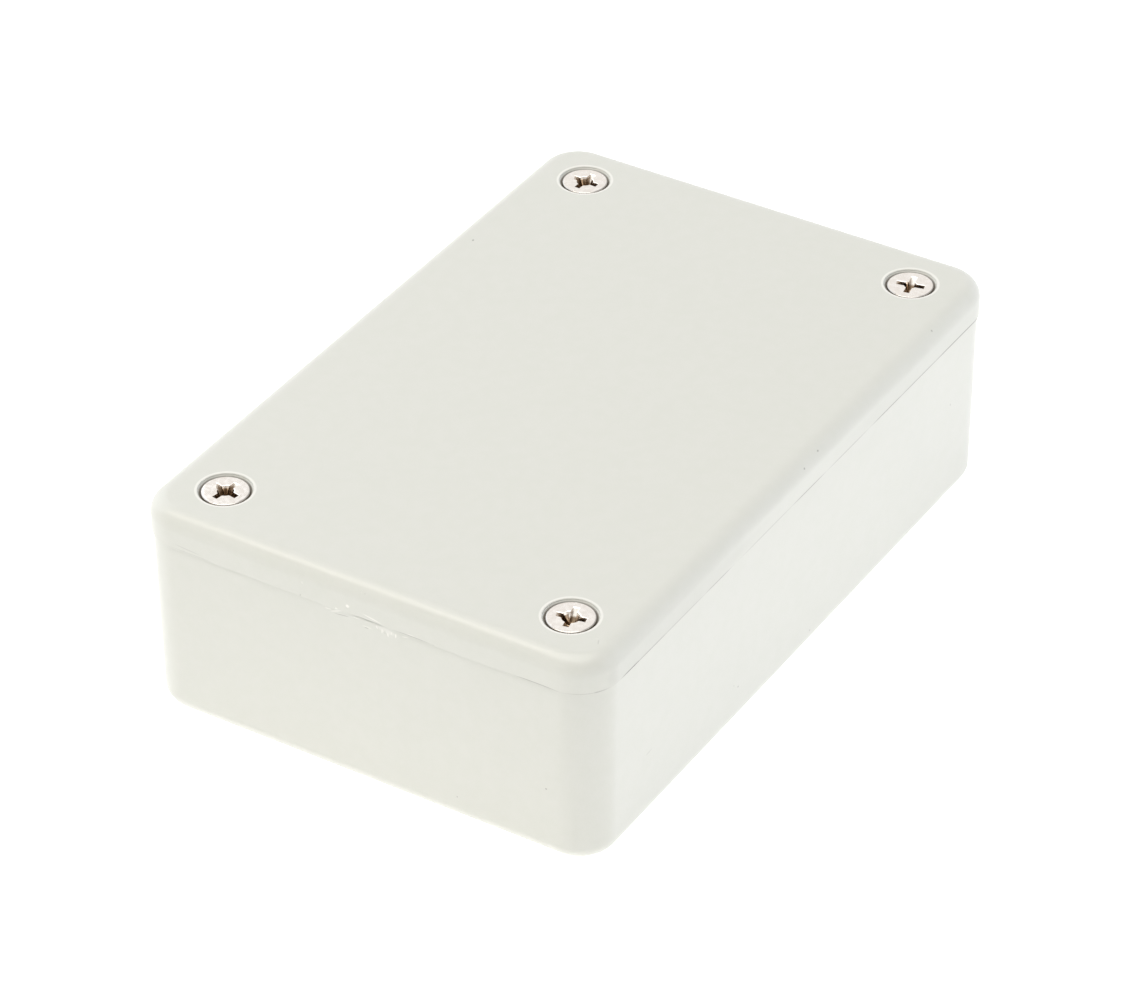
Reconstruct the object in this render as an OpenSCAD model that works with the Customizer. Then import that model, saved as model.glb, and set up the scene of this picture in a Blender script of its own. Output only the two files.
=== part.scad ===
// Plastic project box: a moulded tub and lid that meet in a lap joint, held by four
// countersunk machine screws that run into brass inserts in the tub's corner posts.
// Millimetres, +Z up. The origin is on the bench, under the middle of the box.
// X runs along the box's length and Y across its width.

/* [Box] */
// Outside length, over the lid
box_l = 85; // [75:1:120]
// Outside width, over the lid
box_w = 56; // [50:1:80]
// Outside height, from the bench to the lid's top face
box_h = 26; // [24:1:45]
// Radius of the upright corners, over the lid
corner_r = 4.7; // [4.2:0.1:6.5]
// Thickness of the tub's side walls at the rim
wall = 2; // [1.8:0.1:2.6]
// Thickness of the tub's floor
floor_t = 2; // [1.6:0.1:3]
// Radius along the tub's bottom edge
bottom_edge_r = 2; // [1:0.1:2.4]
// Radius between the tub's floor and its walls, inside
inner_edge_r = 1; // [0.6:0.1:1.4]
// Lean of the tub's walls, in degrees, so that it leaves its mould
draft = 0.5; // [0:0.1:1]

/* [Lid] */
// Height of the lid's side, from the parting line to the top face
lid_side_h = 4; // [3.6:0.1:5]
// Thickness of the lid's plate
lid_plate_t = 2.2; // [2:0.1:2.4]
// Radius along the lid's top edge
top_edge_r = 2; // [1:0.1:2.2]
// How far the lid stands out past the tub, all round
lid_overhang = 0.2; // [0.05:0.05:0.3]

/* [Lap joint] */
// Thickness of the tongue that stands on the tub's rim
tongue_t = 0.95; // [0.8:0.05:1.1]
// Gap between the tongue and the lid, beside it and above it
tongue_gap = 0.1; // [0.05:0.05:0.2]
// Chamfer on the tongue's outer edge
tongue_chamfer = 0.3; // [0.1:0.05:0.5]

/* [Screws] */
// Distance from the lid's ends to the screws
screw_inset_x = 6.9; // [6.7:0.1:9]
// Distance from the lid's sides to the screws
screw_inset_y = 7; // [6.7:0.1:9]
// Diameter of the thread, drawn as a plain shank
thread_d = 3; // [2.5:0.1:3]
// Length over all
screw_l = 10; // [9:0.5:12]
// Diameter of the countersunk head
head_d = 5.2; // [4.8:0.1:5.4]
// Height of the head's straight rim
head_rim_h = 0.3; // [0.2:0.05:0.5]
// Chamfer round the head's top edge
head_edge = 0.1; // [0.05:0.05:0.2]
// Depth of the head's top under the lid's top face
head_sink = 0.15; // [0.1:0.05:0.5]
// Diameter of the round well in the lid above the countersink
well_d = 5.8; // [5.6:0.1:6.4]
// Diameter of the lid's clearance hole
screw_hole_d = 3.4; // [3.3:0.1:3.8]
// Gap between the head's cone and the countersink
seat_gap = 0.02; // [0.01:0.01:0.05]
// Span of the cross recess, wing tip to wing tip
recess_span = 3.3; // [2.8:0.1:3.6]
// Width of a wing of the cross recess
recess_wing = 0.65; // [0.5:0.05:0.8]
// Diameter of the recess's round middle, at the head's face
recess_core_d = 1.4; // [1.2:0.1:1.8]
// Depth of the cross recess
recess_depth = 1.3; // [0.8:0.1:1.4]

/* [Inserts] */
// Diameter over the knurled bands
insert_d = 4.6; // [4.2:0.1:4.8]
// Length of an insert
insert_l = 5.7; // [4:0.1:6.5]
// Depth of an insert's top under the post's top
insert_sink = 0.2; // [0.1:0.1:0.6]
// Depth of the groove between the knurled bands
insert_groove = 0.4; // [0.2:0.05:0.5]
// Gap between a knurled band and its hole
insert_gap = 0.02; // [0.01:0.01:0.05]
// Gap between the shank and the insert's bore
thread_gap = 0.05; // [0.02:0.01:0.08]

/* [Inside] */
// Thickness of a corner post's wall around its insert
post_wall = 1.5; // [1.2:0.1:1.6]
// Thickness of the webs from a post to the walls
web_t = 1.6; // [1.2:0.1:2.4]
// Room left under the screw's tip in its post
tip_room = 1.2; // [0.6:0.1:3]
// Thickness of a circuit board that the wall slots hold
board_t = 1.6; // [1:0.1:2.4]
// Gap between a board and the ribs of its slot
board_gap = 0.15; // [0.1:0.05:0.3]
// Thickness of a slot's rib
rib_t = 1.2; // [0.8:0.1:1.6]
// How far a slot's rib stands out of the wall
rib_out = 1.8; // [1.2:0.1:2.4]
// Distance from a slot's top to the parting line
rib_drop = 2; // [1:0.5:6]
// Number of board slots in each long wall
slots_long = 3; // [1:1:3]
// Distance between the slots in a long wall
slot_pitch = 20; // [16:1:22]
// Diameter of a floor pillar
pillar_d = 5; // [4.4:0.1:6]
// Height of a floor pillar above the floor
pillar_h = 4; // [2:0.5:8]
// Diameter of a pillar's pilot hole
pilot_d = 2.2; // [1.8:0.1:2.8]
// Depth of a pillar's pilot hole
pilot_depth = 4.5; // [3:0.1:9]
// Distance between pillars along the box
pillar_pitch_x = 50; // [44:1:50]
// Distance between pillars across the box
pillar_pitch_y = 30; // [20:1:32]

/* [Hidden] */
SIDES = ["front", "rear"];
ENDS = ["left", "right"];

BOX_COLOUR = [0.9, 0.9, 0.87];
SCREW_COLOUR = [0.8, 0.79, 0.77];
BRASS_COLOUR = [0.78, 0.62, 0.3];

CUT = 1; // how far a cut runs past the face that it opens
CURVE_FN = 96;
$fn = CURVE_FN;

// Heights
parting_z = box_h - lid_side_h;
plate_z = box_h - lid_plate_t;
tongue_top_z = plate_z - tongue_gap;
head_top_z = box_h - head_sink;
head_cone_z = head_top_z - head_rim_h;
tip_z = head_top_z - screw_l;
insert_top_z = parting_z - insert_sink;
insert_z = insert_top_z - insert_l;

// The tub, at the parting line
base_l = box_l - 2 * lid_overhang;
base_w = box_w - 2 * lid_overhang;
base_r = corner_r - lid_overhang;
tongue_r = base_r - wall + tongue_t;
skirt_r = tongue_r + tongue_gap;
wall_inset = lid_overhang + wall;
root_inset = lid_overhang + wall / 2; // ribs and webs end inside the wall
root_z = floor_t / 2; // and start inside the floor

// Corner posts and what they hold
screw_x = box_l / 2 - screw_inset_x;
screw_y = box_w / 2 - screw_inset_y;
insert_hole_d = insert_d + 2 * insert_gap;
insert_bore_d = thread_d + 2 * thread_gap;
post_d = insert_hole_d + 2 * post_wall;

// Turn of each cross recess about its own axis, in degrees, as the driver left it
RECESS_TURN = [[12, 12], [-10, -3]];

// ---------------------------------------------------------------- outlines

// A slice of a disc with its tip at the centre, from one angle to another under 180 degrees on.
module disc_slice(r, from, to) {
    reach = 2 * r;
    middle = (from + to) / 2;
    intersection() {
        circle(r = r);
        polygon([
            [0, 0],
            reach * [cos(from), sin(from)],
            reach * [cos(middle), sin(middle)],
            reach * [cos(to), sin(to)],
        ]);
    }
}

// Half section of a tub's outside or of its hollow, out from the corners' axis. The wall leans
// out by the draft to reach top_r at height h, and an arc of radius edge_r joins it to the floor.
module tub_section(top_r, h, edge_r) {
    lean_at_arc = (h - edge_r * (1 - sin(draft))) * tan(draft);
    arc_x = top_r - lean_at_arc - edge_r * cos(draft);
    polygon([
        [0, 0],
        [arc_x, 0],
        [arc_x, edge_r],
        [arc_x + edge_r * cos(draft), edge_r * (1 - sin(draft))],
        [top_r, h],
        [0, h],
    ]);
    translate([arc_x, edge_r])
        disc_slice(edge_r, -90, -draft);
}

// Half section of the lid's outside: an upright side and a rounded top edge.
module lid_section() {
    arc_x = corner_r - top_edge_r;
    arc_y = lid_side_h - top_edge_r;
    polygon([
        [0, 0],
        [corner_r, 0],
        [corner_r, arc_y],
        [arc_x, arc_y],
        [arc_x, lid_side_h],
        [0, lid_side_h],
    ]);
    translate([arc_x, arc_y])
        disc_slice(top_edge_r, 0, 90);
}

// Half section of the tongue's outside, with its chamfered lead-in.
module tongue_section() {
    h = tongue_top_z - parting_z;
    polygon([
        [0, 0],
        [tongue_r, 0],
        [tongue_r, h - tongue_chamfer],
        [tongue_r - tongue_chamfer, h],
        [0, h],
    ]);
}

// ---------------------------------------------------------------- building forms

// Carries a half section round a rounded rectangle and fills the middle. span_x and span_y are
// the distances between the corners' axes, and h is the section's height at its axis.
module carry_round(span_x, span_y, h) {
    for (corner = [[1, 1, 0], [-1, 1, 90], [-1, -1, 180], [1, -1, 270]])
        translate([corner.x * span_x / 2, corner.y * span_y / 2, 0])
            rotate(corner.z)
                rotate_extrude(angle = 90)
                    children();
    for (turn = [0, 180]) {
        rotate(turn)
            translate([span_x / 2, span_y / 2, 0])
                rotate([90, 0, 0])
                    linear_extrude(span_y)
                        children();
        rotate(turn)
            translate([-span_x / 2, span_y / 2, 0])
                rotate([90, 0, 90])
                    linear_extrude(span_x)
                        children();
    }
    translate([-span_x / 2, -span_y / 2, 0])
        cube([span_x, span_y, h]);
}

// The same for the box's own corner axes.
module box_form(h) {
    carry_round(box_l - 2 * corner_r, box_w - 2 * corner_r, h)
        children();
}

// Repeats its child at the four corners, where x and y are half the distances between them.
module at_corners(x, y) {
    for (side = [-1, 1])
        for (end = [-1, 1])
            translate([end * x, side * y, 0])
                children();
}

// A block between two corners of its own.
module block(low, high) {
    translate(low)
        cube(high - low);
}

// ---------------------------------------------------------------- tub

// A post in the corner of positive x and y, with its webs to both walls.
module corner_post() {
    translate([screw_x, screw_y, root_z])
        cylinder(d = post_d, h = parting_z - root_z);
    block([screw_x, screw_y - web_t / 2, root_z], [box_l / 2 - root_inset, screw_y + web_t / 2, parting_z]);
    block([screw_x - web_t / 2, screw_y, root_z], [screw_x + web_t / 2, box_w / 2 - root_inset, parting_z]);
}

// The hole for the insert, and below it the room for the screw's tip.
module post_hole() {
    translate([0, 0, insert_z])
        cylinder(d = insert_hole_d, h = parting_z - insert_z + CUT);
    translate([0, 0, tip_z - tip_room])
        cylinder(d = insert_bore_d, h = insert_z - tip_z + tip_room + CUT);
}

// The two ribs of a board slot in the rear wall, about x = 0.
module board_slot() {
    rib_y = box_w / 2 - wall_inset - rib_out;
    rib_x = board_t / 2 + board_gap;
    for (side = [0, 1])
        mirror([side, 0, 0])
            block([rib_x, rib_y, root_z], [rib_x + rib_t, box_w / 2 - root_inset, parting_z - rib_drop]);
}

module base() {
    color(BOX_COLOUR)
        difference() {
            union() {
                difference() {
                    union() {
                        box_form(parting_z)
                            tub_section(base_r, parting_z, bottom_edge_r);
                        translate([0, 0, parting_z])
                            box_form(tongue_top_z - parting_z)
                                tongue_section();
                    }
                    translate([0, 0, floor_t])
                        box_form(box_h - floor_t)
                            tub_section(base_r - wall, box_h - floor_t, inner_edge_r);
                }
                for (x = [0, 1], y = [0, 1])
                    mirror([x, 0, 0])
                        mirror([0, y, 0])
                            corner_post();
                for (turn = [0, 180], i = [0:slots_long - 1])
                    rotate(turn)
                        translate([(i - (slots_long - 1) / 2) * slot_pitch, 0, 0])
                            board_slot();
                at_corners(pillar_pitch_x / 2, pillar_pitch_y / 2)
                    translate([0, 0, root_z])
                        cylinder(d = pillar_d, h = floor_t + pillar_h - root_z);
            }
            at_corners(screw_x, screw_y)
                post_hole();
            at_corners(pillar_pitch_x / 2, pillar_pitch_y / 2)
                translate([0, 0, floor_t + pillar_h - pilot_depth])
                    cylinder(d = pilot_d, h = pilot_depth + CUT);
        }
}

// ---------------------------------------------------------------- lid

// A screw's way through the lid: clearance hole, countersink and round well.
module screw_well() {
    cone_low_z = head_cone_z - (head_d - screw_hole_d) / 2 - seat_gap;
    cone_high_z = head_cone_z + (well_d - head_d) / 2 - seat_gap;
    rotate_extrude()
        polygon([
            [0, parting_z - CUT],
            [screw_hole_d / 2, parting_z - CUT],
            [screw_hole_d / 2, cone_low_z],
            [well_d / 2, cone_high_z],
            [well_d / 2, box_h + CUT],
            [0, box_h + CUT],
        ]);
}

module lid() {
    color(BOX_COLOUR)
        difference() {
            union() {
                difference() {
                    translate([0, 0, parting_z])
                        box_form(lid_side_h)
                            lid_section();
                    translate([0, 0, parting_z - CUT])
                        box_form(plate_z - parting_z + CUT)
                            square([skirt_r, plate_z - parting_z + CUT]);
                }
                at_corners(screw_x, screw_y)
                    translate([0, 0, parting_z])
                        cylinder(d = post_d, h = (lid_side_h + plate_z - parting_z) / 2);
            }
            at_corners(screw_x, screw_y)
                screw_well();
        }
}

// ---------------------------------------------------------------- screws and inserts

// The cross recess: two crossing slots with sloping ends, about a pointed core.
module cross_recess() {
    tip = recess_span / 5;
    for (turn = [0, 90])
        rotate([90, 0, turn])
            translate([0, 0, -recess_wing / 2])
                linear_extrude(recess_wing)
                    polygon([
                        [-recess_span / 2, CUT],
                        [-recess_span / 2, 0],
                        [-tip, -recess_depth],
                        [tip, -recess_depth],
                        [recess_span / 2, 0],
                        [recess_span / 2, CUT],
                    ]);
    rotate(45)
        translate([0, 0, -recess_depth])
            cylinder(r1 = recess_wing / 2, r2 = recess_core_d / 2, h = recess_depth);
}

// A screw on its own axis, at its height in the box. The head's cone is 90 degrees across.
module screw(turn) {
    chamfer = thread_d / 8;
    color(SCREW_COLOUR)
        difference() {
            rotate_extrude()
                polygon([
                    [0, tip_z],
                    [thread_d / 2 - chamfer, tip_z],
                    [thread_d / 2, tip_z + chamfer],
                    [thread_d / 2, head_cone_z - (head_d - thread_d) / 2],
                    [head_d / 2, head_cone_z],
                    [head_d / 2, head_top_z - head_edge],
                    [head_d / 2 - head_edge, head_top_z],
                    [0, head_top_z],
                ]);
            translate([0, 0, head_top_z])
                rotate(turn)
                    cross_recess();
        }
}

// An insert on its own axis: two knurled bands with a groove between, and a plain pilot below.
module insert() {
    band_r = insert_d / 2;
    groove_r = band_r - insert_groove;
    bore_r = insert_bore_d / 2;
    band_h = insert_l * 0.32;
    pilot_h = insert_l * 0.16;
    lead = insert_groove / 2;
    color(BRASS_COLOUR)
        translate([0, 0, insert_z])
            rotate_extrude()
                polygon([
                    [bore_r, lead],
                    [bore_r + lead, 0],
                    [groove_r, 0],
                    [groove_r, pilot_h],
                    [band_r, pilot_h],
                    [band_r, pilot_h + band_h],
                    [groove_r, pilot_h + band_h],
                    [groove_r, insert_l - band_h],
                    [band_r, insert_l - band_h],
                    [band_r, insert_l],
                    [bore_r + lead, insert_l],
                    [bore_r, insert_l - lead],
                ]);
}

base();
lid();
for (side = [0, 1])
    for (end = [0, 1]) {
        place = [(2 * end - 1) * screw_x, (2 * side - 1) * screw_y, 0];
        translate(place) screw(RECESS_TURN[side][end]);
        translate(place) insert();
    }
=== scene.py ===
"""A plastic project box: satin tub and lid in a lap joint, plated screws and brass inserts.

Every moulded surface is carried round the box's rounded rectangle or drawn in towards a screw,
a post or a pillar, quarter by quarter. Lengths are millimetres until they reach Blender, apart
from those that are said to be metres.
"""
import math

import bmesh
import bpy
import numpy as np
from mathutils import Matrix, Vector


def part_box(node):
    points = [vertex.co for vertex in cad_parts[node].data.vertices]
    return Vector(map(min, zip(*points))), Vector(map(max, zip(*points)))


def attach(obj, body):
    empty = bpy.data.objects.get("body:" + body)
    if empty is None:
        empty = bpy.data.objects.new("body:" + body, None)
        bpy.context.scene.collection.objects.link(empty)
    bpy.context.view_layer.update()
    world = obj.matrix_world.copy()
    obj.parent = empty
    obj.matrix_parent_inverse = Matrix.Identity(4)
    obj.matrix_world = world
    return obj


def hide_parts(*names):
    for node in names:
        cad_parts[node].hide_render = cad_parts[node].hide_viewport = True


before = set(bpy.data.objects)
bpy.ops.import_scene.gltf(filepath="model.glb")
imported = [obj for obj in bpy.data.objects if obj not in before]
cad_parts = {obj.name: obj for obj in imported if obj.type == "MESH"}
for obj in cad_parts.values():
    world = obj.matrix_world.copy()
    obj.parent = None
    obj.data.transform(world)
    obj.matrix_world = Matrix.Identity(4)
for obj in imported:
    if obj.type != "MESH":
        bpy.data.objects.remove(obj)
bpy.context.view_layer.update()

MM = 0.001
ENDS = ("left", "right")
SIDES = ("front", "rear")

# ------------------------------------------------------------------ sizes from the parts in model.glb

def corners(node):
    """A node's lowest and highest corners."""
    return [np.array(corner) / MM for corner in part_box(node)]


LID_LOW, LID_HIGH = corners("lid")
TUB_HIGH = corners("base")[1]
SCREW_LOW, SCREW_HIGH = corners("screw_rear_right")
INSERT_LOW, INSERT_HIGH = corners("insert_rear_right")

TOP_Z = LID_HIGH[2]
PARTING_Z = LID_LOW[2]
TONGUE_Z = TUB_HIGH[2]
HEAD_Z = SCREW_HIGH[2]
TIP_Z = SCREW_LOW[2]
INSERT_TOP_Z = INSERT_HIGH[2]
INSERT_Z = INSERT_LOW[2]
SCREW_X, SCREW_Y = (SCREW_LOW[:2] + SCREW_HIGH[:2]) / 2
HEAD_R = (SCREW_HIGH[0] - SCREW_LOW[0]) / 2
INSERT_R = (INSERT_HIGH[0] - INSERT_LOW[0]) / 2

# ------------------------------------------------------------------ sizes of the mouldings

CORNER_R = 4.7
WALL = 2.0
FLOOR_Z = 2.0
DRAFT = math.tan(math.radians(0.5))
TOP_EDGE_R = 2.0
BOTTOM_EDGE_R = 2.0
INNER_EDGE_R = 1.0
TONGUE_T = 0.95
TONGUE_GAP = 0.1
TONGUE_CHAMFER = 0.3
PLATE_Z = TONGUE_Z + TONGUE_GAP
CRISP_R = 0.12  # the small rounding that a mould leaves on its sharp edges
FOOT_EDGE_R = 0.05  # the finer one on the outside of the lid's foot
ROOT_R = 0.3  # the rounding where a post, rib or skirt meets a floor
SUPPORT = 0.02  # a narrow strip beside each rounding, which keeps the flats flat

# The corners' axes, and distances out from them
AXIS_X = LID_HIGH[0] - CORNER_R
AXIS_Y = LID_HIGH[1] - CORNER_R
TUB_R = TUB_HIGH[0] - AXIS_X
INNER_R = TUB_R - WALL
TONGUE_R = INNER_R + TONGUE_T
SKIRT_R = TONGUE_R + TONGUE_GAP

WELL_R = 2.9
SCREW_HOLE_R = 1.7
HEAD_RIM_H = 0.3
SEAT_GAP = 0.02
POST_R = 3.82
INSERT_HOLE_R = 2.32
TIP_HOLE_R = 1.55
TIP_ROOM = 1.2
WEB_T = 1.6
WEB_DROP = 0.05
PILLAR_X, PILLAR_Y = 25.0, 15.0
PILLAR_R = 2.5
PILLAR_Z = FLOOR_Z + 4.0
PILOT_R = 1.1
PILOT_DEPTH = 4.5
SLOT_PITCH = 20.0
SLOT_HALF = 0.95
RIB_T = 1.2
RIB_OUT = 1.8
RIB_DROP = 2.0
BLOCK_EDGE_R = 0.2

# How finely a quarter of the outline is cut: along its straight sides, round its corner, and
# along the two middle lines where it meets the other quarters
LONG_STEPS = 114
SHORT_STEPS = 92
CORNER_STEPS = 24
MID_X_STEPS = 16
MID_Y_STEPS = 8
POST_SIDE_STEP = 90  # the step along the long side where a post's cell ends and a pillar's begins
WELD_REACH = 0.0002
SHARP_ANGLE = math.radians(40)


# ------------------------------------------------------------------ sheets and meshes

def steps(start, end, count):
    """Evenly spaced values from start to end, without the end."""
    return np.linspace(start, end, count, endpoint=False)


def arc(centre, radius, start, end, count=6):
    """Points of an arc in a section: centre plus radius times (cos, sin) of an angle in degrees."""
    angle = np.radians(np.linspace(start, end, count + 1))
    return np.stack([centre[0] + radius * np.cos(angle), centre[1] + radius * np.sin(angle)], axis=1)


def section(*stretches):
    """One list of section points from single points and arcs, in order."""
    return np.concatenate([np.atleast_2d(np.asarray(s, float)) for s in stretches])


def sheet_faces(rows, columns, closed):
    """Quads between neighbouring points of a grid; a closed grid's last column meets its first."""
    index = np.arange(rows * columns).reshape(rows, columns)
    after = np.roll(index, -1, axis=1)
    if not closed:
        index, after = index[:, :-1], after[:, :-1]
    return np.stack([index[:-1], after[:-1], after[1:], index[1:]], axis=-1).reshape(-1, 4)


def moulded_mesh(name, sheets):
    """A welded mesh from sheets, each a grid of points and whether its columns close."""
    points, faces, count = [], [], 0
    for grid, closed in sheets:
        rows, columns = grid.shape[:2]
        points.append(grid.reshape(-1, 3))
        faces.append(sheet_faces(rows, columns, closed) + count)
        count += rows * columns
    mesh = bpy.data.meshes.new(name)
    mesh.from_pydata(np.concatenate(points) * MM, [], np.concatenate(faces).tolist())
    weld = bmesh.new()
    weld.from_mesh(mesh)
    bmesh.ops.remove_doubles(weld, verts=weld.verts, dist=WELD_REACH * MM)
    bmesh.ops.recalc_face_normals(weld, faces=weld.faces)
    weld.to_mesh(mesh)
    weld.free()
    mesh.shade_smooth()
    mesh.set_sharp_from_angle(angle=SHARP_ANGLE)
    return mesh


def piece(name, sheets, material, body, node, darkening=None):
    """Makes a piece of sheets and a material, which rides on a body, stands for a node and has its
    painted joint shade and grime as a value at each point."""
    mesh = moulded_mesh(name, sheets)
    obj = bpy.data.objects.new(name, mesh)
    bpy.context.scene.collection.objects.link(obj)
    mesh.materials.append(material)
    if darkening:
        points = np.empty(3 * len(mesh.vertices))
        mesh.vertices.foreach_get("co", points)
        layer = mesh.attributes.new("joint_shade_and_grime", "FLOAT", "POINT")
        layer.data.foreach_set("value", darkening(points.reshape(-1, 3) / MM))
    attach(obj, body)
    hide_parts(node)


# ------------------------------------------------------------------ the box's outline

def outer_outline():
    """A quarter's outer side, from x = 0 along the long side, round the corner, to y = 0.

    Gives the corner-axis points and the outward directions: the outline at a distance out from
    the axes is axis point + distance * direction."""
    turn = np.radians(steps(0, 90, CORNER_STEPS))
    long_x = steps(0, AXIS_X, LONG_STEPS)
    short_y = np.linspace(AXIS_Y, 0, SHORT_STEPS + 1)
    centre = np.concatenate([
        np.stack([long_x, np.full_like(long_x, AXIS_Y)], axis=1),
        np.tile([AXIS_X, AXIS_Y], (CORNER_STEPS, 1)),
        np.stack([np.full_like(short_y, AXIS_X), short_y], axis=1),
    ])
    direction = np.concatenate([
        np.tile([0.0, 1.0], (LONG_STEPS, 1)),
        np.stack([np.sin(turn), np.cos(turn)], axis=1),
        np.tile([1.0, 0.0], (SHORT_STEPS + 1, 1)),
    ])
    return centre, direction


OUT_CENTRE, OUT_DIRECTION = outer_outline()


def carried(profile):
    """A section carried along a quarter's outer side: each section point (s, z) becomes
    (axis point + s * direction, z). Rows follow the section and columns the side."""
    plan = OUT_CENTRE[None] + profile[:, None, :1] * OUT_DIRECTION[None]
    height = np.broadcast_to(profile[:, None, 1:], plan.shape[:2] + (1,))
    return np.concatenate([plan, height], axis=2)


def quarter_loop(s):
    """A quarter's closed plan outline at distance s out from the corner axis."""
    outer = OUT_CENTRE + s * OUT_DIRECTION
    mid_x = np.stack([steps(AXIS_X + s, 0, MID_X_STEPS), np.zeros(MID_X_STEPS)], axis=1)
    mid_y = np.stack([np.zeros(MID_Y_STEPS), steps(0, AXIS_Y + s, MID_Y_STEPS)], axis=1)
    return np.concatenate([outer[:-1], mid_x, mid_y])


def post_loop(s):
    """The part of a quarter's outline around its corner post, cut off across the box."""
    outer = (OUT_CENTRE + s * OUT_DIRECTION)[POST_SIDE_STEP:]
    cut_x = outer[0, 0]
    mid_x = np.stack([steps(AXIS_X + s, cut_x, MID_X_STEPS), np.zeros(MID_X_STEPS)], axis=1)
    cut_y = np.stack([np.full(MID_Y_STEPS, cut_x), steps(0, AXIS_Y + s, MID_Y_STEPS)], axis=1)
    return np.concatenate([outer[:-1], mid_x, cut_y])


def pillar_loop(s):
    """The rest of the quarter's outline, around its floor pillar."""
    outer = (OUT_CENTRE + s * OUT_DIRECTION)[:POST_SIDE_STEP + 1]
    cut_x = outer[-1, 0]
    cut_y = np.stack([np.full(MID_Y_STEPS, cut_x), steps(AXIS_Y + s, 0, MID_Y_STEPS)], axis=1)
    mid_x = np.stack([steps(cut_x, 0, MID_X_STEPS), np.zeros(MID_X_STEPS)], axis=1)
    mid_y = np.stack([np.zeros(MID_Y_STEPS), steps(0, AXIS_Y + s, MID_Y_STEPS)], axis=1)
    return np.concatenate([outer[:-1], cut_y, mid_x, mid_y])


def flat_to_round(loop, axis, z, radius, outwards=False):
    """A flat ring of face between a plan outline and a circle about axis. Every point lies on the
    line from the axis to an outline point: axis + direction * (radius + t * (reach - radius))."""
    out = loop - axis
    reach = np.linalg.norm(out, axis=1)
    direction = out / reach[:, None]
    gap = (reach - radius)[None, :]
    share = np.array([1.0, 0.8, 0.5, 0.2, 0.0])[:, None] * np.ones_like(gap)
    share = np.insert(share, 1, (gap - SUPPORT) / gap, axis=0)
    share = np.insert(share, -1, SUPPORT / gap, axis=0)
    plan = axis + direction[None] * (radius + share * gap)[..., None]
    grid = np.concatenate([plan, np.full(plan.shape[:2] + (1,), z)], axis=2)
    return grid[::-1] if outwards else grid


def turned(loop, axis, profile):
    """A section turned about a plan axis, with one column towards each outline point: a section
    point (r, z) becomes (axis + r * direction, z)."""
    out = loop - axis
    direction = out / np.linalg.norm(out, axis=1)[:, None]
    plan = axis + direction[None] * profile[:, None, :1]
    height = np.broadcast_to(profile[:, None, 1:], plan.shape[:2] + (1,))
    return np.concatenate([plan, height], axis=2)


def four_quarters(grids):
    """The grids of the rear right quarter, mirrored into all four."""
    mirrored = []
    for x in (1, -1):
        for y in (1, -1):
            mirrored += [(grid * np.array([x, y, 1.0]), closed) for grid, closed in grids]
    return mirrored


def rounded_block(low, high, radius, count=4):
    """A block with rounded upright and top edges. A quarter arc is carried round its plan, whose
    points are corner centre + s * direction, and the ends close on the middle."""
    low, high = np.array(low, float), np.array(high, float)
    middle, half = (low + high) / 2, (high - low) / 2 - radius
    angle = np.radians([np.linspace(start, start + 90, count + 1) for start in (0, 90, 180, 270)]).ravel()
    direction = np.stack([np.cos(angle), np.sin(angle)], axis=1)
    quadrant = np.repeat(np.array([[1, 1], [-1, 1], [-1, -1], [1, -1]]), count + 1, axis=0)
    rim = arc((0, high[2] - radius), radius, 0, 90, count)
    profile = section((radius, low[2]), rim)
    plan = middle[:2] + quadrant * half[:2] + profile[:, None, :1] * direction
    height = np.broadcast_to(profile[:, None, 1:], plan.shape[:2] + (1,))
    wall = np.concatenate([plan, height], axis=2)
    bottom, top = (np.broadcast_to([*middle[:2], z], wall[:1].shape) for z in (low[2], high[2]))
    return np.concatenate([bottom, wall, top]), True


# ------------------------------------------------------------------ parting line

# Stretches where the joint shows: the middle of each in plan, its half length and how open it is
# and how much painted shade and grime it has, from 0 to 1
OPEN_JOINTS = (
    # front
    (-35.4, -28, 1.7, 0.9), (-31.5, -28, 3.0, 0.55), (-25.5, -28, 4.0, 0.35), (-18.3, -28, 2.4, 0.5),
    (-8, -28, 5, 0.3), (0.5, -28, 3.2, 0.6), (9, -28, 4, 0.4), (18.1, -28, 3.4, 0.7), (25, -28, 5, 0.6),
    (34, -28, 5.5, 0.85),
    # left end
    (-41.6, -26.6, 2.2, 0.4), (-42.5, -21.2, 2.3, 0.9), (-42.5, -17.4, 1.2, 0.2), (-42.5, -6.5, 1.9, 0.7),
    (-42.5, -1.2, 1.8, 0.75), (-42.5, 21, 2.4, 0.3),
    # rear and right end
    (31, 28, 5, 0.7), (12, 28, 4, 0.4), (-14, 28, 6, 0.8), (-33, 28, 4, 0.5), (42.5, 8, 6, 0.7),
    (42.5, -8, 3, 0.4),
)
JOINT_GAP = 0.08  # where the joint is fully open
LONG_SIDE_GAP = 0.25  # the share of the gap that is left on the long sides

# How far the foot's rise spreads: it is full beyond this share of the skirt's thickness, and it
# ends at this height over the foot's rounding
RISE_IN, RISE_UP = 0.4, 0.3

# Painted shade and grime on the joint's edges: how far they go up the lid on the long sides and
# on the ends, down the tub and inwards, the height that they fade over, and how strong they are on
# the ends
DARKENING_UP_LONG, DARKENING_UP_END = 0.2, 0.13
DARKENING_DOWN, DARKENING_IN = 0.1, 0.2
DARKENING_FADE = 0.06
END_DARKENING = 0.6

# Rows of points that follow the painted joint shade and grime and the rise: up the lid's side,
# and in from the outside on the lid's foot and the tub's shoulder
FOOT_ROWS = (0.14, 0.2, 0.45)
SHOULDER_ROW = 0.25

# Where the tub's rim is bruised on the left end, as by a screwdriver's tip: the middle along the
# width, the half length, how far the burr stands out and how deep the bruise reaches down
BRUISE_Y, BRUISE_HALF = -0.4, 4.4
BRUISE_OUT = 0.15
BRUISE_DEPTH = 0.9
BURR_WAVES = ((7.3, 2.1), (3.1, -4.7))  # the radians in a millimetre along Y and along Z


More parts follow.
